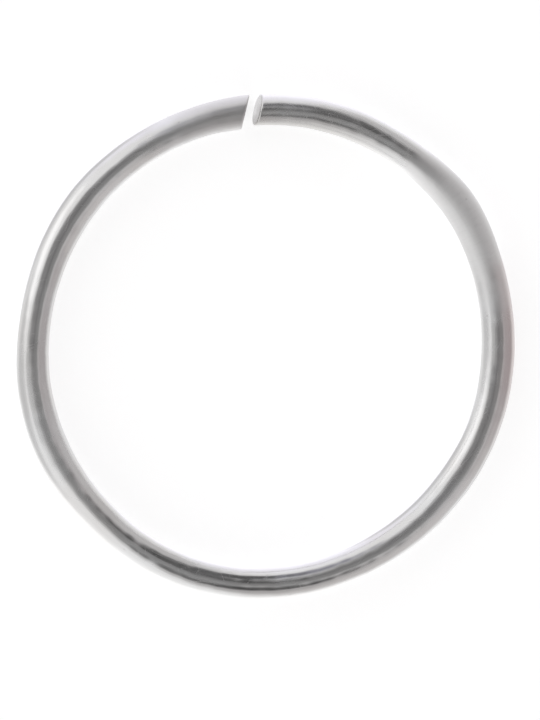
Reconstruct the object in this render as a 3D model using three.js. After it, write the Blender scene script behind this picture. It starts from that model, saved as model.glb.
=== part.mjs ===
// A plain open nose hoop: one length of round silver wire, bent round by hand and cut off so that a
// narrow gap is left. The wearer twists the gap open to pass the wire through the piercing.
//
// Millimetres. The hoop lies on its side: +Z is its axis, the gap is on the +Y side, and the origin
// is on the surface that it lies on, under the middle of the hoop.

import * as THREE from 'three';
import { LoftGeometry } from 'three/addons/geometries/LoftGeometry.js';

// The drawn wire, and the circle that it is bent to
const wireDiameter = 0.6;
const insideDiameter = 8;

// The gap: its width square across from face to face, half-way up the wire, and the direction that
// it lies in, in degrees from +X towards +Y
const gapWidth = 0.2;
const gapDirection = 93.8;

// The cut faces. Seen from above, each one turns clockwise off the hoop's radius by its slant, and
// its upper edge is set back from the gap by its lean, both in degrees.
const leftCut = { slant: 19, lean: 14 };
const rightCut = { slant: 16, lean: 0 };

// The small round that polishing leaves on the rim of each cut face
const rimRadius = 0.035;

// How many wire diameters from a cut the sections of the wire have turned square to it again
const slantFade = 1.6;

// What bending by hand leaves of a true circle. A row's place is its share of the way along the
// wire, from the left end, round the side away from the gap, to the right end. The middle of the
// wire lies further out there by a share of the wire's diameter, and the wire is wider by a share.
const bentForm = [
  { along: 0.0, outwards: -0.02, wider: 0.02 },
  { along: 0.04, outwards: 0.0, wider: -0.04 },
  { along: 0.12, outwards: 0.04, wider: 0.02 },
  { along: 0.16, outwards: 0.01, wider: 0.0 },
  { along: 0.21, outwards: -0.025, wider: -0.06 },
  { along: 0.26, outwards: 0.005, wider: 0.01 },
  { along: 0.31, outwards: 0.005, wider: 0.06 },
  { along: 0.36, outwards: -0.04, wider: -0.03 },
  { along: 0.42, outwards: 0.01, wider: 0.0 },
  { along: 0.49, outwards: 0.0, wider: 0.0 },
  { along: 0.54, outwards: -0.02, wider: 0.0 },
  { along: 0.64, outwards: 0.0, wider: 0.03 },
  { along: 0.68, outwards: 0.015, wider: 0.0 },
  { along: 0.74, outwards: -0.045, wider: 0.01 },
  { along: 0.79, outwards: -0.03, wider: -0.02 },
  { along: 0.84, outwards: 0.045, wider: 0.07 },
  { along: 0.885, outwards: -0.02, wider: -0.03 },
  { along: 0.95, outwards: 0.0, wider: -0.03 },
  { along: 1.0, outwards: 0.01, wider: -0.07 },
];

// How finely the round shapes are faceted
const sidesRoundWire = 24;
const stepsAlongWire = 144;
const stepsRoundRim = 3;

const wireRadius = wireDiameter / 2;
const hoopRadius = insideDiameter / 2 + wireRadius;
const radians = THREE.MathUtils.degToRad;

// The wire crosses the gap at a slant to the cuts, so it leaves more than the gap's square width
const meanSlant = radians((leftCut.slant + rightCut.slant) / 2);
const gapAngle = gapWidth / Math.cos(meanSlant) / hoopRadius;
const startAngle = radians(gapDirection) + gapAngle / 2;
const wireAngle = 2 * Math.PI - gapAngle;
const wireLength = wireAngle * hoopRadius;

// Gives [outwards, wider] at any share of the way along the wire, smoothly through the rows above
const bend = new THREE.CubicInterpolant(
  bentForm.map((row) => row.along),
  bentForm.flatMap((row) => [row.outwards, row.wider]),
  2,
);

// How much of a cut's slant and lean a section has: all at the cut, none past the fade
function shareOfCut(fromCut) {
  return 1 - THREE.MathUtils.smoothstep(fromCut, 0, slantFade * wireDiameter);
}

// A closed ring of points round the middle of the wire, at a distance along it from the left cut.
// The ring is drawn in by a small amount where a rim is rounded. Near a cut its points slide along
// the wire, until at the cut itself they lie in the cut's slanted plane.
function sectionOfWire(distance, drawnIn) {
  const along = distance / wireLength;
  const [outwardsShare, widerShare] = bend.evaluate(along);
  const angle = startAngle + along * wireAngle;
  const outDirection = new THREE.Vector3(Math.cos(angle), Math.sin(angle), 0);
  const alongDirection = new THREE.Vector3(-Math.sin(angle), Math.cos(angle), 0);
  const middleRadius = hoopRadius + outwardsShare * wireDiameter;

  const left = shareOfCut(distance);
  const right = shareOfCut(wireLength - distance);
  const slidePerOut = -left * Math.tan(radians(leftCut.slant)) - right * Math.tan(radians(rightCut.slant));
  const slidePerUp = left * Math.tan(radians(leftCut.lean)) - right * Math.tan(radians(rightCut.lean));

  // the flat sides touch the round wire, one of them underneath, so the corners stand just outside it
  const cornerRadius = (wireRadius - drawnIn) / Math.cos(Math.PI / sidesRoundWire);
  const ring = [];
  for (let side = 0; side < sidesRoundWire; side++) {
    const cornerAngle = (2 * Math.PI * (side + 0.5)) / sidesRoundWire;
    const out = cornerRadius * (1 + widerShare) * Math.cos(cornerAngle);
    const up = -cornerRadius * Math.sin(cornerAngle);
    const corner = new THREE.Vector3(0, 0, wireRadius + up);
    corner.addScaledVector(outDirection, middleRadius + out);
    corner.addScaledVector(alongDirection, slidePerOut * out + slidePerUp * up);
    ring.push(corner);
  }
  return ring;
}

// A rim is a quarter round: each step of it lies a little deeper from the cut and is drawn in less
function rimStep(step) {
  const quarter = ((Math.PI / 2) * step) / stepsRoundRim;
  return { fromCut: rimRadius * (1 - Math.cos(quarter)), drawnIn: rimRadius * (1 - Math.sin(quarter)) };
}

// All sections of the wire in order: the left rim, the wire's length, and the right rim
function sectionsOfHoop() {
  const sections = [];
  for (let step = 0; step < stepsRoundRim; step++) {
    const rim = rimStep(step);
    sections.push(sectionOfWire(rim.fromCut, rim.drawnIn));
  }
  for (let step = 0; step <= stepsAlongWire; step++) {
    const between = step / stepsAlongWire;
    sections.push(sectionOfWire(rimRadius + between * (wireLength - 2 * rimRadius), 0));
  }
  for (let step = stepsRoundRim - 1; step >= 0; step--) {
    const rim = rimStep(step);
    sections.push(sectionOfWire(wireLength - rim.fromCut, rim.drawnIn));
  }
  return sections;
}

const silver = new THREE.MeshStandardMaterial({ color: 0xd9d7d5, metalness: 1, roughness: 0.25 });

const hoop = new THREE.Mesh(new LoftGeometry(sectionsOfHoop(), { capStart: true, capEnd: true }), silver);
hoop.name = 'hoop';

const noseRing = new THREE.Group();
noseRing.add(hoop);

export default noseRing;
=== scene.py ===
# %% [markdown]
# # A plain open nose hoop in silver
#
# The object is one length of round silver wire, bent by hand into a hoop and cut off with a narrow
# gap. It is as plain as a thing can be, so everything depends on three things: the slightly uneven
# line of a hand-bent hoop, the two cut ends, and how polished silver mirrors the studio.
#
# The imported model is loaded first. It is the fixed frame: its sizes and its place stay as they are,
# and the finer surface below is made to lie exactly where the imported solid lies.

import bpy
import numpy as np
from mathutils import Matrix, Vector


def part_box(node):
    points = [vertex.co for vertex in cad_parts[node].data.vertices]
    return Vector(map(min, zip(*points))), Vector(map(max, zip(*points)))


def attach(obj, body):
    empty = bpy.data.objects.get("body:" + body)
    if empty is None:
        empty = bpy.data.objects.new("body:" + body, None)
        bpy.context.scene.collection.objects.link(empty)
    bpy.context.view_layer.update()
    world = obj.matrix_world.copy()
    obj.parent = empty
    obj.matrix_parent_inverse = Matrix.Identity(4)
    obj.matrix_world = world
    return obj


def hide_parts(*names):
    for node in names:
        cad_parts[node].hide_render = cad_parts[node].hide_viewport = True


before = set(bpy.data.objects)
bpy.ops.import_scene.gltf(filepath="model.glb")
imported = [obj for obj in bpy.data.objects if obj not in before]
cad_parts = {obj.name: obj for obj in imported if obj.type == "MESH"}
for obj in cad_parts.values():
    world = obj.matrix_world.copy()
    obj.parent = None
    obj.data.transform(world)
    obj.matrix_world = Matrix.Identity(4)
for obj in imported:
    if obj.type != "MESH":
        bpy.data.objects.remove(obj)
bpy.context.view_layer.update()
print("packed nodes:", sorted(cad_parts))

# %% [markdown]
# ## Sizes
#
# Blender works in metres here. The wire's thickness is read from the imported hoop, which lies on its
# side, so its box is as high as the wire is thick. The other sizes are named once and used by name
# everywhere, which makes it easy to see what follows from what.

# %% Sizes of the wire and the hoop
MM = 0.001
hoop_low, hoop_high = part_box("hoop")
WIRE_RADIUS = (hoop_high[2] - hoop_low[2]) / 2
INSIDE_RADIUS = 4.0 * MM
HOOP_RADIUS = INSIDE_RADIUS + WIRE_RADIUS
GAP_WIDTH = 0.2 * MM
GAP_DIRECTION = np.radians(93.8)
RIM_RADIUS = 0.035 * MM
LEFT_SLANT, LEFT_LEAN = np.radians(19), np.radians(14)
RIGHT_SLANT, RIGHT_LEAN = np.radians(16), np.radians(0)
SLANT_FADE = 1.6 * 2 * WIRE_RADIUS
print(f"wire {2 * WIRE_RADIUS / MM:.2f} mm thick, its middle {HOOP_RADIUS / MM:.2f} mm from the centre")

# %% [markdown]
# ## The camera
#
# The photograph looks almost straight along the hoop's axis: the circle is squashed by only three
# parts in a hundred, which is a tilt of about 14 degrees. A long lens from far away keeps the hoop's
# near and far side the same size. The camera is placed by three directions that stand square to
# each other, and then pushed sideways until the hoop's centre falls on its pixel.

# %% Camera at the photograph's angle
PHOTO_WIDTH, PHOTO_HEIGHT = 540, 720
HOOP_CENTRE_PX = (266.8, 347.0)
PX_PER_MM = 55.54
CAMERA_TILT = np.radians(14.4)
CAMERA_TOWARDS = np.radians(146)
CAMERA_DISTANCE = 240 * MM
NEAREST_SEEN, FARTHEST_SEEN = 1 * MM, 10

to_camera = Vector((
    np.sin(CAMERA_TILT) * np.cos(CAMERA_TOWARDS),
    np.sin(CAMERA_TILT) * np.sin(CAMERA_TOWARDS),
    np.cos(CAMERA_TILT),
))
picture_up = (Vector((0, 1, 0)) - to_camera.y * to_camera).normalized()
picture_right = picture_up.cross(to_camera)

metres_per_px = MM / PX_PER_MM
right_of_hoop = (PHOTO_WIDTH / 2 - HOOP_CENTRE_PX[0]) * metres_per_px
below_hoop = (PHOTO_HEIGHT / 2 - HOOP_CENTRE_PX[1]) * metres_per_px
aim = Vector((0, 0, WIRE_RADIUS)) + picture_right * right_of_hoop - picture_up * below_hoop

camera = bpy.data.objects.new("camera", bpy.data.cameras.new("camera"))
camera.matrix_world = Matrix.Translation(aim + to_camera * CAMERA_DISTANCE) @ Matrix(
    (picture_right, picture_up, to_camera)
).transposed().to_4x4()
camera.data.lens = camera.data.sensor_width * CAMERA_DISTANCE / (PHOTO_HEIGHT * metres_per_px)
camera.data.clip_start, camera.data.clip_end = NEAREST_SEEN, FARTHEST_SEEN
bpy.context.scene.collection.objects.link(camera)
bpy.context.scene.camera = camera
print(f"lens {camera.data.lens:.0f} mm at {CAMERA_DISTANCE / MM:.0f} mm")

# %% [markdown]
# ## The line of a hand-bent hoop
#
# Wire that is bent round a mandrel by hand never lies on a perfect circle. A perfect torus looks
# wrong at once, because its reflections are perfect too. The table gives what is read off the
# photograph: how far the wire's middle strays outwards, and how much wider the wire is, both as
# shares of its thickness. The imported solid was shaped by the same rows, so the two agree.
#
# The rows could be joined by straight lines, but each corner would show as a break in the
# reflections. A cubic curve through the rows, which leaves each row in the direction of its
# neighbours, has no such corners.

# %% The table, and a smooth curve through it
BENT_FORM = np.array([
    # along, outwards, wider
    (0.0, -0.02, 0.02),
    (0.04, 0.0, -0.04),
    (0.12, 0.04, 0.02),
    (0.16, 0.01, 0.0),
    (0.21, -0.025, -0.06),
    (0.26, 0.005, 0.01),
    (0.31, 0.005, 0.06),
    (0.36, -0.04, -0.03),
    (0.42, 0.01, 0.0),
    (0.49, 0.0, 0.0),
    (0.54, -0.02, 0.0),
    (0.64, 0.0, 0.03),
    (0.68, 0.015, 0.0),
    (0.74, -0.045, 0.01),
    (0.79, -0.03, -0.02),
    (0.84, 0.045, 0.07),
    (0.885, -0.02, -0.03),
    (0.95, 0.0, -0.03),
    (1.0, 0.01, -0.07),
])
ROW_ALONG, ROW_OUTWARDS, ROW_WIDER = BENT_FORM.T


def smooth_rows(where, places, values):
    """Cubic curve through (places, values): the slope at a row is the slope between its neighbours."""
    slopes = np.gradient(values, places)
    slopes[1:-1] = (values[2:] - values[:-2]) / (places[2:] - places[:-2])
    row = np.clip(np.searchsorted(places, where) - 1, 0, len(places) - 2)
    step = places[row + 1] - places[row]
    t = (where - places[row]) / step
    return (
        values[row] * (1 + 2 * t) * (1 - t) ** 2
        + values[row + 1] * t**2 * (3 - 2 * t)
        + slopes[row] * step * t * (1 - t) ** 2
        - slopes[row + 1] * step * t**2 * (1 - t)
    )


mean_slant = (LEFT_SLANT + RIGHT_SLANT) / 2
GAP_ANGLE = GAP_WIDTH / np.cos(mean_slant) / HOOP_RADIUS
START_ANGLE = GAP_DIRECTION + GAP_ANGLE / 2
WIRE_ANGLE = 2 * np.pi - GAP_ANGLE
WIRE_LENGTH = WIRE_ANGLE * HOOP_RADIUS
most_astray = 2 * WIRE_RADIUS * abs(ROW_OUTWARDS).max()
print(f"wire {WIRE_LENGTH / MM:.2f} mm long, strays by up to {most_astray / MM:.3f} mm")

# %% [markdown]
# ## Ripples of hand polishing
#
# Between the bends, a polishing cloth leaves ripples that are far too shallow to see as shape: a
# few thousandths of a millimetre. They show all the same, because a mirror doubles every change of
# slope, and they are what makes a reflection waver along the wire. Each row is one wave that runs
# along the wire and round it at once.
#
# The ripples are strongest on top and fade out underneath, so that the hoop still lies on the table
# with its whole length. On top, the skin lies half a crest lower, since polishing takes metal away.

# %% Waves on the surface
RIPPLES = np.array([
    # waves per mm of wire, waves round the wire, height in mm, phase
    (0.31, 1, 0.0018, 0.3),
    (0.52, -2, 0.0018, 1.9),
    (0.83, 1, 0.0016, 4.2),
    (1.27, -1, 0.0013, 2.6),
    (1.9, 2, 0.0009, 5.5),
    (2.7, -3, 0.0005, 0.8),
    (3.6, 1, 0.0004, 3.7),
])
SAMPLES_ALONG, SAMPLES_ROUND = 2000, 90


def waves(distance, turn):
    """Sum of waves: height times the sine of the way along the wire plus the way round it."""
    waves_along, waves_round, height, phase = (column[:, None, None] for column in RIPPLES.T)
    angle = 2 * np.pi * waves_along * distance / MM + waves_round * turn + phase
    return (height * MM * np.sin(angle)).sum(0)


def upper_side(turn):
    """1 on top of the wire, 0 underneath: half of 1 plus the sine of the turn."""
    return (1 + np.sin(turn)) / 2


all_along = np.linspace(0, WIRE_LENGTH, SAMPLES_ALONG)[:, None]
all_round = np.linspace(0, 2 * np.pi, SAMPLES_ROUND)[None, :]
CREST = waves(all_along, all_round).max()
print(f"highest crest {CREST / MM:.4f} mm")

# %% [markdown]
# ## The surface as a function of two numbers
#
# A wire is a circle carried along a path, so two numbers name every point of its skin: the distance
# along the wire, and the turn round it. Three things are added to that. Near a cut, points slide
# along the wire until at the cut itself they lie in a slanted plane: a cutter never meets the wire
# quite square. The rim of each cut is a quarter round. And the cut face closes the end: there the
# circles shrink to a point while the distance stays the same.
#
# Blender's own curve with a round bevel gives a wire in two steps, but none of these three, and no
# ripples. A function has them all in one place, and its stations can lie closest where the rims are.

# %% Stations along the wire
STEPS_ROUND = 88
STEPS_ALONG = 1000
STEPS_RIM = 8
STEPS_FACE = 12

share = np.arange(1, STEPS_FACE) / STEPS_FACE
quarter = np.linspace(0, np.pi / 2, STEPS_RIM + 1)
face_radius = share * (WIRE_RADIUS - RIM_RADIUS)
rim_distance = RIM_RADIUS * (1 - np.cos(quarter))
rim_radius = WIRE_RADIUS - RIM_RADIUS * (1 - np.sin(quarter))
middle = np.linspace(RIM_RADIUS, WIRE_LENGTH - RIM_RADIUS, STEPS_ALONG + 1)[1:-1]

end_distance = np.concatenate([0 * face_radius, rim_distance])
end_radius = np.concatenate([face_radius, rim_radius])
station_distance = np.concatenate([end_distance, middle, WIRE_LENGTH - end_distance[::-1]])
station_radius = np.concatenate([end_radius, np.full(len(middle), WIRE_RADIUS), end_radius[::-1]])
print(len(station_distance), "stations of", STEPS_ROUND, "points")


# %% The skin of the wire
def fade(from_cut):
    """1 at a cut, 0 past the fade, with a smooth start and end between them."""
    t = np.clip(from_cut / SLANT_FADE, 0, 1)
    return 1 - t * t * (3 - 2 * t)


def wire_skin(distance, radius, turn):
    """The point at a distance along the wire and a turn round it. It goes from the middle of the
    wire by radius times the cosine of the turn outwards and by radius times its sine upwards, and
    then slides along the wire by the tangents of the cut's slant and lean."""
    along = distance / WIRE_LENGTH
    outwards = smooth_rows(along, ROW_ALONG, ROW_OUTWARDS) * 2 * WIRE_RADIUS
    wider = smooth_rows(along, ROW_ALONG, ROW_WIDER)
    angle = START_ANGLE + along * WIRE_ANGLE
    ripple = (waves(distance, turn) - CREST / 2) * upper_side(turn)
    rippled = radius + ripple * (radius / WIRE_RADIUS)
    out = rippled * (1 + wider) * np.cos(turn)
    up = rippled * np.sin(turn)
    left, right = fade(distance), fade(WIRE_LENGTH - distance)
    slide = -out * (left * np.tan(LEFT_SLANT) + right * np.tan(RIGHT_SLANT))
    slide += up * (left * np.tan(LEFT_LEAN) - right * np.tan(RIGHT_LEAN))
    reach = HOOP_RADIUS + outwards + out
    x = reach * np.cos(angle) - slide * np.sin(angle)
    y = reach * np.sin(angle) + slide * np.cos(angle)
    return np.stack([x, y, WIRE_RADIUS + up], axis=-1)


turn = np.linspace(0, 2 * np.pi, STEPS_ROUND, endpoint=False)
skin = wire_skin(station_distance[:, None], station_radius[:, None], turn[None, :])
print(f"the skin lies between {skin[..., 2].min() / MM:.3f} and {skin[..., 2].max() / MM:.3f} mm up")

# %% [markdown]
# ## Making the mesh
#
# The grid of points is closed all the way round the wire, and a single point closes each cut face.
# The faces are worked out as whole arrays too. Their order matters: seen from outside, the corners
# of a face go round anticlockwise, and that is what makes it point outwards.


# %% One closed mesh
def wire_faces(rows, columns):
    """Quads between the rows, closed round the wire, and a fan of triangles in each cut face."""
    row, column = np.meshgrid(np.arange(rows - 1), np.arange(columns), indexing="ij")
    corner = row * columns + column
    beside = row * columns + (column + 1) % columns
    quads = np.stack([corner, corner + columns, beside + columns, beside], axis=-1).reshape(-1, 4)
    first = np.arange(columns)
    next_one = (first + 1) % columns
    last = (rows - 1) * columns
    start_centre = np.full(columns, rows * columns)
    start_fan = np.stack([first, next_one, start_centre], axis=-1)
    end_fan = np.stack([last + next_one, last + first, start_centre + 1], axis=-1)
    return quads.tolist() + start_fan.tolist() + end_fan.tolist()


centres = wire_skin(np.array([[0.0], [WIRE_LENGTH]]), np.zeros((2, 1)), np.zeros((1, 1)))
points = np.concatenate([skin.reshape(-1, 3), centres.reshape(-1, 3)])
hoop_mesh = bpy.data.meshes.new("silver_hoop")
hoop_mesh.from_pydata(points.tolist(), [], wire_faces(len(station_distance), STEPS_ROUND))
hoop_mesh.shade_smooth()

hoop = bpy.data.objects.new("silver_hoop", hoop_mesh)
bpy.context.scene.collection.objects.link(hoop)
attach(hoop, "root")
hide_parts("hoop")
print(len(hoop_mesh.vertices), "vertices,", len(hoop_mesh.polygons), "faces")

# %% [markdown]
# ### What each point knows of the straight wire
#
# Patterns on the metal have to follow the wire, not the room. So each vertex also stores where it
# would lie if the wire were pulled out straight, in millimetres: the length along it, and the place
# in its round section. A texture that reads this place has no seam and runs along the wire. A second
# value is 1 on the cut faces and falls to 0 over the rim.

# %% Straight-wire place and cut face
along_wire = np.broadcast_to(station_distance[:, None], skin.shape[:2])
outwards_in_wire = station_radius[:, None] * np.cos(turn)
upwards_in_wire = station_radius[:, None] * np.sin(turn)
straight = np.stack([along_wire, outwards_in_wire, upwards_in_wire], axis=-1) / MM
straight = np.concatenate([straight.reshape(-1, 3), [[0, 0, 0], [WIRE_LENGTH / MM, 0, 0]]])
straight_wire = hoop_mesh.attributes.new("straight_wire", "FLOAT_VECTOR", "POINT")
straight_wire.data.foreach_set("vector", straight.astype(np.float32).ravel())

depth_in_rims = np.minimum(station_distance, WIRE_LENGTH - station_distance) / RIM_RADIUS
on_face = np.repeat(1 - np.clip(depth_in_rims, 0, 1), STEPS_ROUND)
on_face = np.concatenate([on_face, [1, 1]])
cut_face = hoop_mesh.attributes.new("cut_face", "FLOAT", "POINT")
cut_face.data.foreach_set("value", on_face.astype(np.float32))
print("points on the cut faces and rims:", int((on_face > 0).sum()))

# %% [markdown]
# ## Node groups for the metal
#
# A finish is built of a few effects, and each effect is a node group with named sockets, so that it
# can be tried by itself and reused. A group answers only with masks and heights. The shader itself
# stays in the material.
#
# These helpers make an empty group with its sockets, add a node, join sockets in pairs, and make the
# step that most masks end in: a smooth fall from 1 to 0.

# %% Helpers for node groups
VECTOR, FLOAT = "NodeSocketVector", "NodeSocketFloat"
NOISE_MIDDLE = 0.5


def new_group(name, inputs, outputs):
    """An empty shader group. Each input is a name, a socket type and a starting value."""
    group = bpy.data.node_groups.new(name, "ShaderNodeTree")
    for label, kind, value in inputs:
        socket = group.interface.new_socket(label, in_out="INPUT", socket_type=kind)
        if value is not None:
            socket.default_value = value
    for label, kind in outputs:
        group.interface.new_socket(label, in_out="OUTPUT", socket_type=kind)
    into = group.nodes.new("NodeGroupInput")
    out = group.nodes.new("NodeGroupOutput")
    return group, into, out


def add(tree, kind, **settings):
    """A new node in a tree with its settings."""
    node = tree.nodes.new(kind)
    for key, value in settings.items():
        setattr(node, key, value)
    return node


def join(tree, *pairs):
    """A link for each pair of an output and the input that reads it, and a count of the nodes."""
    for output, socket in pairs:
        tree.links.new(output, socket)
    print(tree.name, "has", len(tree.nodes), "nodes")


def falling(tree):
    """A node with a smooth fall from 1 to 0, between its sockets From Min and From Max."""
    node = add(tree, "ShaderNodeMapRange", interpolation_type="SMOOTHSTEP")
    node.inputs["To Min"].default_value = 1.0
    node.inputs["To Max"].default_value = 0.0
    return node


# %% [markdown]
# ### Streaks along the wire
#
# Wire is pulled through a hole in a hard plate, and that leaves very fine lines along it. Noise
# that is squeezed along the wire and left as it is across it makes such lines: the group scales the
# straight-wire place before the noise reads it. With the two scales the other way round, the same
# group makes lines across the wire.

# %% Group: streaks
streaks, into, out = new_group(
    "streaks",
    [
        ("Place", VECTOR, None),
        ("Across per mm", FLOAT, 30.0),
        ("Along per mm", FLOAT, 1.5),
        ("Detail", FLOAT, 3.0),
    ],
    [("Height", FLOAT)],
)
per_axis = add(streaks, "ShaderNodeCombineXYZ")
scaled = add(streaks, "ShaderNodeVectorMath", operation="MULTIPLY")
noise = add(streaks, "ShaderNodeTexNoise")
noise.inputs["Scale"].default_value = 1.0
noise.inputs["Roughness"].default_value = 0.6
join(
    streaks,
    (into.outputs["Along per mm"], per_axis.inputs["X"]),
    (into.outputs["Across per mm"], per_axis.inputs["Y"]),
    (into.outputs["Across per mm"], per_axis.inputs["Z"]),
    (into.outputs["Place"], scaled.inputs[0]),
    (per_axis.outputs[0], scaled.inputs[1]),
    (scaled.outputs[0], noise.inputs["Vector"]),
    (into.outputs["Detail"], noise.inputs["Detail"]),
    (noise.outputs["Fac"], out.inputs["Height"]),
)

# %% [markdown]
# ### Fine scratches
#
# Wear and polishing leave hair scratches in every direction. One set of them is a noise that is
# turned, pulled out to 40 times its length, and cut down to the places where it crosses its middle
# value. Those crossings are long, nearly straight lines, and the distance from them gives the line
# its width. Without the pulling they would curl like contours on a map. A scratch also has an end,
# so a second, coarser noise rubs most of each line out again.

# %% Group: scratches
PULLED_OUT = 40
scratches, into, out = new_group(
    "scratches",
    [("Place", VECTOR, None), ("Turn", FLOAT, 0.5), ("Per mm", FLOAT, 8.0), ("Width", FLOAT, 0.02)],
    [("Mask", FLOAT)],
)
turned = add(scratches, "ShaderNodeVectorRotate", rotation_type="Z_AXIS")
stretched = add(scratches, "ShaderNodeVectorMath", operation="MULTIPLY")
stretched.inputs[1].default_value = (1 / PULLED_OUT, 1.0, 1.0)
noise = add(scratches, "ShaderNodeTexNoise")
noise.inputs["Detail"].default_value = 0.0
from_middle = add(scratches, "ShaderNodeMath", operation="SUBTRACT")
from_middle.inputs[1].default_value = NOISE_MIDDLE
distance_to_line = add(scratches, "ShaderNodeMath", operation="ABSOLUTE")
line = falling(scratches)
rubbing = add(scratches, "ShaderNodeTexNoise")
rubbing.inputs["Scale"].default_value = 2.3
rubbed_out = add(scratches, "ShaderNodeMapRange", interpolation_type="SMOOTHSTEP")
rubbed_out.inputs["From Min"].default_value = 0.48
rubbed_out.inputs["From Max"].default_value = 0.62
left_over = add(scratches, "ShaderNodeMath", operation="MULTIPLY")
join(
    scratches,
    (into.outputs["Place"], turned.inputs["Vector"]),
    (into.outputs["Turn"], turned.inputs["Angle"]),
    (turned.outputs[0], stretched.inputs[0]),
    (stretched.outputs[0], noise.inputs["Vector"]),
    (into.outputs["Per mm"], noise.inputs["Scale"]),
    (noise.outputs["Fac"], from_middle.inputs[0]),
    (from_middle.outputs[0], distance_to_line.inputs[0]),
    (distance_to_line.outputs[0], line.inputs["Value"]),
    (into.outputs["Width"], line.inputs["From Max"]),
    (turned.outputs[0], rubbing.inputs["Vector"]),
    (rubbing.outputs["Fac"], rubbed_out.inputs["Value"]),
    (line.outputs["Result"], left_over.inputs[0]),
    (rubbed_out.outputs["Result"], left_over.inputs[1]),
    (left_over.outputs[0], out.inputs["Mask"]),
)

# %% [markdown]
# ### A worn spot
#
# Wire is bent by hand with its end in pliers. Where the jaws pressed, the wire comes out a little
# wider, which the table above has, and the polish is dull. In the photograph that is the shoulder on
# the upper right: there the dark band of the reflection dissolves into an even grey. The mask is
# simply near or far along the wire, with the border pushed to and fro by noise. The two ends, which
# were filed and rubbed, and the stretch with a film on it use the same group.

# %% Group: a worn spot
worn_spot, into, out = new_group(
    "worn_spot",
    [("Place", VECTOR, None), ("Middle", FLOAT, 22.0), ("Reach", FLOAT, 1.5), ("Ragged", FLOAT, 1.0)],
    [("Mask", FLOAT)],
)
parts = add(worn_spot, "ShaderNodeSeparateXYZ")
off_middle = add(worn_spot, "ShaderNodeMath", operation="SUBTRACT")
border = add(worn_spot, "ShaderNodeTexNoise")
border.inputs["Scale"].default_value = 2.2
border.inputs["Detail"].default_value = 3.0
centred = add(worn_spot, "ShaderNodeMath", operation="SUBTRACT")
centred.inputs[1].default_value = NOISE_MIDDLE
border_push = add(worn_spot, "ShaderNodeMath", operation="MULTIPLY_ADD")
how_far = add(worn_spot, "ShaderNodeMath", operation="ABSOLUTE")
inner_reach = add(worn_spot, "ShaderNodeMath", operation="MULTIPLY")
inner_reach.inputs[1].default_value = 0.2
near = falling(worn_spot)
join(
    worn_spot,
    (into.outputs["Place"], parts.inputs[0]),
    (into.outputs["Place"], border.inputs["Vector"]),
    (parts.outputs["X"], off_middle.inputs[0]),
    (into.outputs["Middle"], off_middle.inputs[1]),
    (border.outputs["Fac"], centred.inputs[0]),
    (centred.outputs[0], border_push.inputs[0]),
    (into.outputs["Ragged"], border_push.inputs[1]),
    (off_middle.outputs[0], border_push.inputs[2]),
    (border_push.outputs[0], how_far.inputs[0]),
    (into.outputs["Reach"], inner_reach.inputs[0]),
    (how_far.outputs[0], near.inputs["Value"]),
    (inner_reach.outputs[0], near.inputs["From Min"]),
    (into.outputs["Reach"], near.inputs["From Max"]),
    (near.outputs["Result"], out.inputs["Mask"]),
)

# %% [markdown]
# ### Small dings
#
# Soft silver picks up tiny dents from other jewellery. Cell noise gives one round dent in the middle
# of each cell, and each cell's own random colour decides whether its dent is there at all.

# %% Group: dings
dings, into, out = new_group(
    "dings",
    [("Place", VECTOR, None), ("Per mm", FLOAT, 2.6), ("Size", FLOAT, 0.16), ("Share", FLOAT, 0.25)],
    [("Mask", FLOAT)],
)
cells = add(dings, "ShaderNodeTexVoronoi")
round_dent = falling(dings)
chance = add(dings, "ShaderNodeSeparateColor")
chosen = add(dings, "ShaderNodeMath", operation="LESS_THAN")
kept = add(dings, "ShaderNodeMath", operation="MULTIPLY")
join(
    dings,
    (into.outputs["Place"], cells.inputs["Vector"]),
    (into.outputs["Per mm"], cells.inputs["Scale"]),
    (cells.outputs["Distance"], round_dent.inputs["Value"]),
    (into.outputs["Size"], round_dent.inputs["From Max"]),
    (cells.outputs["Color"], chance.inputs[0]),
    (chance.outputs["Red"], chosen.inputs[0]),
    (into.outputs["Share"], chosen.inputs[1]),
    (round_dent.outputs["Result"], kept.inputs[0]),
    (chosen.outputs[0], kept.inputs[1]),
    (kept.outputs[0], out.inputs["Mask"]),
)

# %% [markdown]
# ## The silver
#
# Silver is the whitest metal, and mirrors nearly all the light that falls on it, so its base colour
# is almost white and its metalness is 1. What makes it look like a worn thing and not like chrome is
# in the details: the polish is a little cloudy, the tone drifts between a cold and a warm grey, the
# drawing lines run along the wire, hair scratches cross them, and the cut faces keep the marks of the
# cutter. Each detail has its own size and its own strength, and none of them stands out alone.
#
# The helpers here take values and give values, so that the cells below read like sums.

# %% Material: polished silver wire
silver = bpy.data.materials.new("silver")
silver.use_nodes = True
tree = silver.node_tree
link = tree.links.new
shader = tree.nodes["Principled BSDF"]
shader.inputs["Metallic"].default_value = 1.0

place = add(tree, "ShaderNodeAttribute", attribute_name="straight_wire")
cut = add(tree, "ShaderNodeAttribute", attribute_name="cut_face")


def placed(group, output, **values):
    """One effect on the wire, with its named values set."""
    node = add(tree, "ShaderNodeGroup", node_tree=group)
    for socket, value in values.items():
        node.inputs[socket.replace("_", " ")].default_value = value
    link(place.outputs["Vector"], node.inputs["Place"])
    return node.outputs[output]


def scaled_to(value, low_from, high_from, low_to, high_to):
    """The value, stretched so that one pair of limits becomes another."""
    stretch = add(tree, "ShaderNodeMapRange")
    stretch.inputs["From Min"].default_value = low_from
    stretch.inputs["From Max"].default_value = high_from
    stretch.inputs["To Min"].default_value = low_to
    stretch.inputs["To Max"].default_value = high_to
    link(value, stretch.inputs["Value"])
    return stretch.outputs["Result"]


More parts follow.
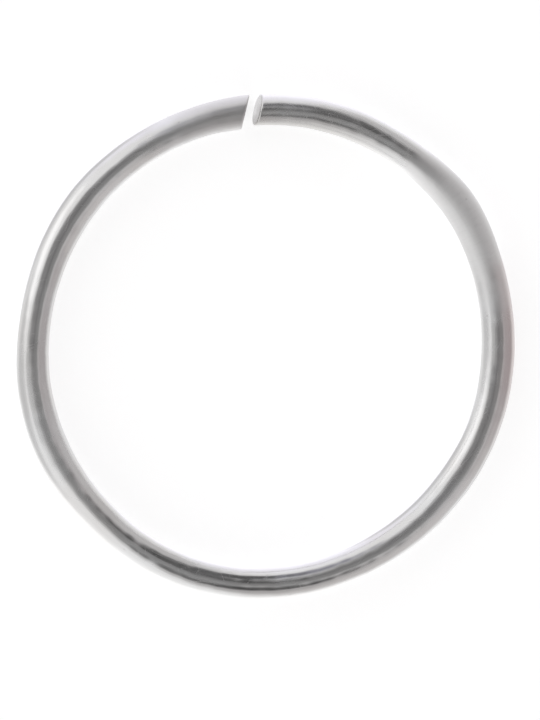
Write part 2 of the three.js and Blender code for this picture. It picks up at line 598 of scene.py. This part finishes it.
def combined(operation, first, second):
    """One value of two, such as their product or the larger one."""
    node = add(tree, "ShaderNodeMath", operation=operation)
    link(first, node.inputs[0])
    link(second, node.inputs[1])
    return node.outputs[0]


def plus_share(total, value, share):
    """total + value x share."""
    sum_node = add(tree, "ShaderNodeMath", operation="MULTIPLY_ADD")
    sum_node.inputs[1].default_value = share
    link(value, sum_node.inputs[0])
    link(total, sum_node.inputs[2])
    return sum_node.outputs[0]


def towards(base, factor, colour):
    """The base colour, moved towards another one by the factor."""
    blend = add(tree, "ShaderNodeMix", data_type="RGBA")
    blend.inputs["B"].default_value = (*colour, 1)
    link(factor, blend.inputs["Factor"])
    link(base, blend.inputs["A"])
    return blend.outputs["Result"]


print("straight-wire place and cut face are read by", silver.name)

# %% [markdown]
# ### The effects
#
# Each effect is set by its own few values. Middle and Reach are millimetres along the wire, counted
# from the left end, so 22.1 is the shoulder on the upper right and 26.8 is the right end.

# %% The effects that the silver is made of
cloudy = add(tree, "ShaderNodeTexNoise")
cloudy.inputs["Scale"].default_value = 1.1
cloudy.inputs["Detail"].default_value = 5.0
link(place.outputs["Vector"], cloudy.inputs["Vector"])

broad_lines = placed(streaks, "Height", Across_per_mm=9.0, Along_per_mm=0.22, Detail=2.0)
fine_lines = placed(streaks, "Height", Across_per_mm=34.0, Along_per_mm=0.9, Detail=4.0)
haze = placed(streaks, "Height", Across_per_mm=5.0, Along_per_mm=0.5, Detail=4.0)
jaw_lines = placed(streaks, "Height", Across_per_mm=4.5, Along_per_mm=26.0, Detail=4.0)
pliers = placed(worn_spot, "Mask", Middle=22.1, Reach=2.2, Ragged=1.1)
second_grip = placed(worn_spot, "Mask", Middle=8.2, Reach=1.0, Ragged=0.9)
filed_end = placed(worn_spot, "Mask", Middle=0.0, Reach=2.6, Ragged=0.9)
rubbed_end = placed(worn_spot, "Mask", Middle=26.8, Reach=3.4, Ragged=1.0)
tarnish = placed(worn_spot, "Mask", Middle=19.8, Reach=2.1, Ragged=1.4)
dents = placed(dings, "Mask", Per_mm=3.2, Size=0.11, Share=0.25)
print("material nodes so far:", len(tree.nodes))

# %% Hair scratches in four directions
HAIR_SCRATCHES = [
    # turn, per mm, width
    (0.12, 9.0, 0.022),
    (-0.3, 8.0, 0.018),
    (0.7, 6.0, 0.014),
    (-1.1, 6.5, 0.014),
]
hair_marks = None
for turn_angle, per_mm, width in HAIR_SCRATCHES:
    marks = placed(scratches, "Mask", Turn=turn_angle, Per_mm=per_mm, Width=width)
    hair_marks = marks if hair_marks is None else combined("MAXIMUM", hair_marks, marks)
print("sets of hair scratches:", len(HAIR_SCRATCHES))

# %% [markdown]
# ### Where wear and dirt reach
#
# A worn hoop is not equally worn all round its section. Fingers polish the outer side, and what
# settles on the inner side stays. Two masks tell these sides apart: they read how far out in the wire
# a point lies, in millimetres. The warm film is kept to the outer side, and a grey stain to the inner
# side by the right end. The jaws of the pliers left scuffs across the wire, so their lines are cut
# down to the dull spot.

# %% Film, stain and scuffs
outwards = add(tree, "ShaderNodeSeparateXYZ")
link(place.outputs["Vector"], outwards.inputs[0])
outer_side = scaled_to(outwards.outputs["Y"], -0.1, 0.15, 0.0, 0.8)
inner_side = scaled_to(outwards.outputs["Y"], -0.22, -0.08, 1.0, 0.0)
film = combined("MULTIPLY", tarnish, outer_side)
stain = combined("MULTIPLY", rubbed_end, inner_side)
scuffs = combined("MULTIPLY", scaled_to(jaw_lines, 0.5, 0.75, 0.0, 1.0), pliers)
print("masks: film, stain, scuffs")

# %% [markdown]
# ### Colour
#
# The colour drifts with the clouds between a warm and a cold grey. Where the pliers bared fresh
# metal, it is lightest, and that lighter colour is partly painted light: it also stands in for the
# extra tent light that the dull spot catches. One stretch has a thin warm film: silver tarnishes from
# clear over straw to brown, and this is its first stage. Old polish and skin grease darken the dents,
# the filed end, the stain, the scuffs and, only slightly, the cut faces. One ramp and three steps
# towards another colour are enough for this, and each step can be taken out to see what it does.

# %% Base colour
CLOUD_WARM = (0.865, 0.85, 0.842)
CLOUD_COLD = (0.93, 0.928, 0.93)
FRESH_METAL_AND_PAINTED_SHEEN = (0.99, 0.985, 0.98)
WARM_FILM = (0.81, 0.72, 0.71)
SOILED_METAL = (0.52, 0.505, 0.49)

tone = add(tree, "ShaderNodeValToRGB")
warm_stop, cold_stop = tone.color_ramp.elements
warm_stop.position, cold_stop.position = 0.32, 0.68
warm_stop.color, cold_stop.color = (*CLOUD_WARM, 1), (*CLOUD_COLD, 1)
link(cloudy.outputs["Fac"], tone.inputs["Fac"])

soiled_dents = add(tree, "ShaderNodeMath", operation="MULTIPLY")
soiled_dents.inputs[1].default_value = 0.3
link(dents, soiled_dents.inputs[0])
soiled = soiled_dents.outputs[0]
for value, share_of_soil in [
    (cut.outputs["Fac"], 0.12),
    (filed_end, 0.3),
    (stain, 0.75),
    (scuffs, 0.1),
]:
    soiled = plus_share(soiled, value, share_of_soil)

# The dull spot is painted near-white: fresh metal, and painted brightness for the tent light it catches.
base_colour = towards(tone.outputs["Color"], pliers, FRESH_METAL_AND_PAINTED_SHEEN)
base_colour = towards(base_colour, film, WARM_FILM)
base_colour = towards(base_colour, soiled, SOILED_METAL)
link(base_colour, shader.inputs["Base Color"])
print("colour of fresh metal:", FRESH_METAL_AND_PAINTED_SHEEN, "and of soiled metal:", SOILED_METAL)

# %% [markdown]
# ### Roughness
#
# The roughness is a sum of shares: a base that drifts with the clouds, and what each kind of wear
# adds to it. Roughness is squared before it widens a reflection. So about 0.2 still gives clear dark
# lines, while about 0.6 on the dull spot blurs the whole tent into one grey. The scuffs there are a
# little smoother than what lies round them, and mirror a little more clearly.

# %% Sum of roughness
roughness = scaled_to(cloudy.outputs["Fac"], 0.3, 0.7, 0.16, 0.21)
for value, share_of_roughness in [
    (scaled_to(haze, 0.45, 0.7, 0.0, 1.0), 0.07),
    (scaled_to(fine_lines, 0.35, 0.65, -1.0, 1.0), 0.02),
    (pliers, 0.42),
    (scuffs, -0.12),
    (second_grip, 0.05),
    (filed_end, 0.22),
    (rubbed_end, 0.08),
    (hair_marks, 0.10),
    (cut.outputs["Fac"], 0.02),
]:
    roughness = plus_share(roughness, value, share_of_roughness)
link(roughness, shader.inputs["Roughness"])
print("material nodes so far:", len(tree.nodes))

# %% [markdown]
# ### Relief
#
# What is finer than the mesh is a bump: it tilts the light without moving the surface. The relief is
# a chain of bumps, each with its height in thousandths of a millimetre, and scratches and dents go
# inwards. The cutter leaves fine parallel lines on the cut faces, so its noise is turned about the
# wire's axis and squeezed in one direction.

# %% Marks of the cutter and of the jaws
CUTTER_TURN = 0.6
CUTTER_LINES_PER_MM = (0.0, 26.0, 2.5)
across_face = add(tree, "ShaderNodeVectorRotate", rotation_type="X_AXIS")
across_face.inputs["Angle"].default_value = CUTTER_TURN
face_scale = add(tree, "ShaderNodeVectorMath", operation="MULTIPLY")
face_scale.inputs[1].default_value = CUTTER_LINES_PER_MM
cutter_lines = add(tree, "ShaderNodeTexNoise")
cutter_lines.inputs["Scale"].default_value = 1.0
cutter_lines.inputs["Detail"].default_value = 3.0
link(place.outputs["Vector"], across_face.inputs["Vector"])
link(across_face.outputs[0], face_scale.inputs[0])
link(face_scale.outputs[0], cutter_lines.inputs["Vector"])
cutter_relief = combined("MULTIPLY", cutter_lines.outputs["Fac"], cut.outputs["Fac"])
jaw_relief = combined("MULTIPLY", jaw_lines, pliers)
print("cutter lines per mm:", CUTTER_LINES_PER_MM[1])

# %% Chain of bumps
RELIEF = [
    # height map, thousandths of a millimetre, inwards
    (broad_lines, 2.6, False),
    (fine_lines, 0.9, False),
    (jaw_relief, 2.2, False),
    (hair_marks, 0.2, True),
    (dents, 1.2, True),
    (cutter_relief, 3.5, False),
]
normal = None
for height, microns, inwards in RELIEF:
    bump = add(tree, "ShaderNodeBump", invert=inwards)
    bump.inputs["Distance"].default_value = microns * 0.001 * MM
    link(height, bump.inputs["Height"])
    if normal is not None:
        link(normal, bump.inputs["Normal"])
    normal = bump.outputs["Normal"]
link(normal, shader.inputs["Normal"])
hoop_mesh.materials.append(silver)
print("material nodes:", len(tree.nodes))

# %% [markdown]
# ## Floor
#
# The hoop lies on a plain white table. The table glows a little by itself, like a light table for
# small goods, so it stays white, and only a soft shadow is left where the wire touches it.
#
# A bright table would fill the lower half of everything that the wire mirrors, and burn its edges
# out to white. In the photograph the edges stay grey. So the table is hidden from mirrors, and the
# wire sees the tent on all its sides.

# %% White table
FLOOR_SIZE = 2.0
edge = FLOOR_SIZE / 2
floor_corners = [(-edge, -edge, 0), (edge, -edge, 0), (edge, edge, 0), (-edge, edge, 0)]
floor_mesh = bpy.data.meshes.new("floor")
floor_mesh.from_pydata(floor_corners, [], [(0, 1, 2, 3)])
floor = bpy.data.objects.new("floor", floor_mesh)
bpy.context.scene.collection.objects.link(floor)
floor.visible_glossy = False

white_table = bpy.data.materials.new("white_table")
white_table.use_nodes = True
table_shader = white_table.node_tree.nodes["Principled BSDF"]
table_shader.inputs["Base Color"].default_value = (0.8, 0.8, 0.8, 1)
table_shader.inputs["Roughness"].default_value = 0.8
table_shader.inputs["Emission Color"].default_value = (1, 1, 1, 1)
table_shader.inputs["Emission Strength"].default_value = 0.66
floor_mesh.materials.append(white_table)
print("table:", FLOOR_SIZE, "m square")

# %% [markdown]
# ## Light
#
# Small silver is photographed in a white tent, because it mirrors everything round it. The tent
# has to be open where the camera looks in, and that opening is the dark band that runs round the
# middle of the wire in the photograph. So the world here is a white tent that is painted in layers:
# soft round patches, some bright and some dark, each with a direction, a core and a soft edge.
#
# Lamps and panels in the scene could do the same, but each would need its own place and size, and
# would show in the wire with hard edges. A world has no size and costs little to render.
#
# A patch's place is given as the camera sees it: an angle away from the camera, and a direction in
# the picture, counted from the right of the picture and going up.

# %% Group: one soft patch of the tent
patch_group, into, out = new_group(
    "tent_patch",
    [("Direction", VECTOR, None), ("Towards", VECTOR, None), ("Core", FLOAT, 0.9), ("Edge", FLOAT, 0.7)],
    [("Mask", FLOAT)],
)
facing = add(patch_group, "ShaderNodeVectorMath", operation="DOT_PRODUCT")
soft = add(patch_group, "ShaderNodeMapRange", interpolation_type="SMOOTHSTEP")
join(
    patch_group,
    (into.outputs["Direction"], facing.inputs[0]),
    (into.outputs["Towards"], facing.inputs[1]),
    (facing.outputs["Value"], soft.inputs["Value"]),
    (into.outputs["Edge"], soft.inputs["From Min"]),
    (into.outputs["Core"], soft.inputs["From Max"]),
    (soft.outputs["Result"], out.inputs["Mask"]),
)

# %% The tent
TENT_WHITE = (0.80, 0.80, 0.80)
TENT_PATCHES = [
    # name, direction in the picture, angle from the camera, core, edge, colour
    ("top wall", 97, 105, 10, 48, (0.92, 0.91, 0.98)),
    ("lamp behind the top", 95, 142, 12, 44, (1.18, 1.17, 1.25)),
    ("bottom wall", 248, 115, 10, 40, (0.92, 0.92, 0.92)),
    ("lamp behind the bottom", 256, 145, 12, 44, (1.15, 1.15, 1.15)),
    ("left wall", 198, 95, 10, 38, (0.57, 0.57, 0.57)),
    ("far left at the top", 140, 125, 8, 30, (0.60, 0.60, 0.61)),
    ("right wall", 352, 75, 20, 52, (0.40, 0.38, 0.384)),
    ("upper right wall", 30, 74, 12, 40, (0.50, 0.49, 0.49)),
    ("lower right wall", 308, 86, 12, 38, (0.545, 0.525, 0.522)),
    ("lower grey", 290, 62, 6, 28, (0.42, 0.41, 0.41)),
    ("lamp at the lower left", 236, 64, 5, 30, (0.83, 0.83, 0.83)),
    ("lamp on the left", 160, 68, 5, 27, (1.1, 1.1, 1.1)),
    ("grey on the left", 210, 32, 7, 27, (0.47, 0.47, 0.47)),
    ("grey below", 285, 28, 5, 22, (0.38, 0.38, 0.38)),
    ("opening", 350, 3, 0, 33, (0.15, 0.148, 0.15)),
    ("opening, left", 176, 18, 3, 21, (0.21, 0.208, 0.21)),
    ("grey by the focus", 330, 27, 4, 20, (0.23, 0.23, 0.23)),
    ("lavender above", 73, 40, 3, 20, (0.23, 0.23, 0.27)),
    ("dark on the right, near", 12, 33, 4, 17, (0.045, 0.045, 0.045)),
    ("dark on the right", 32, 43, 5, 17, (0.07, 0.07, 0.07)),
    ("dark on the right, far", 54, 48.5, 4, 17, (0.08, 0.08, 0.08)),
    ("dark below", 296, 48, 5, 18, (0.05, 0.05, 0.05)),
]

world = bpy.data.worlds.new("tent")
world.use_nodes = True
bpy.context.scene.world = world
tree = world.node_tree
link = tree.links.new
direction = add(tree, "ShaderNodeTexCoord")
colour = None
for name, in_picture, from_camera, core, edge_angle, patch_colour in TENT_PATCHES:
    side, away = np.radians(in_picture), np.radians(from_camera)
    sideways = picture_right * np.cos(side) + picture_up * np.sin(side)
    mask = add(tree, "ShaderNodeGroup", node_tree=patch_group, label=name)
    mask.inputs["Towards"].default_value = sideways * np.sin(away) + to_camera * np.cos(away)
    mask.inputs["Core"].default_value = np.cos(np.radians(core))
    mask.inputs["Edge"].default_value = np.cos(np.radians(edge_angle))
    link(direction.outputs["Generated"], mask.inputs["Direction"])
    layer = add(tree, "ShaderNodeMix", data_type="RGBA", label=name)
    layer.inputs["A"].default_value = (*TENT_WHITE, 1)
    layer.inputs["B"].default_value = (*patch_colour, 1)
    link(mask.outputs["Mask"], layer.inputs["Factor"])
    if colour is not None:
        link(colour, layer.inputs["A"])
    colour = layer.outputs["Result"]
link(colour, tree.nodes["Background"].inputs["Color"])
tree.nodes["Background"].inputs["Strength"].default_value = 1.0
print("tent patches:", len(TENT_PATCHES))

# %% [markdown]
# ## The view
#
# The standard view shows the colours as they are worked out, without a film curve, so that the white
# table stays white.

# %% Plain view of the colours
bpy.context.scene.view_settings.view_transform = "Standard"
print("view:", bpy.context.scene.view_settings.view_transform)
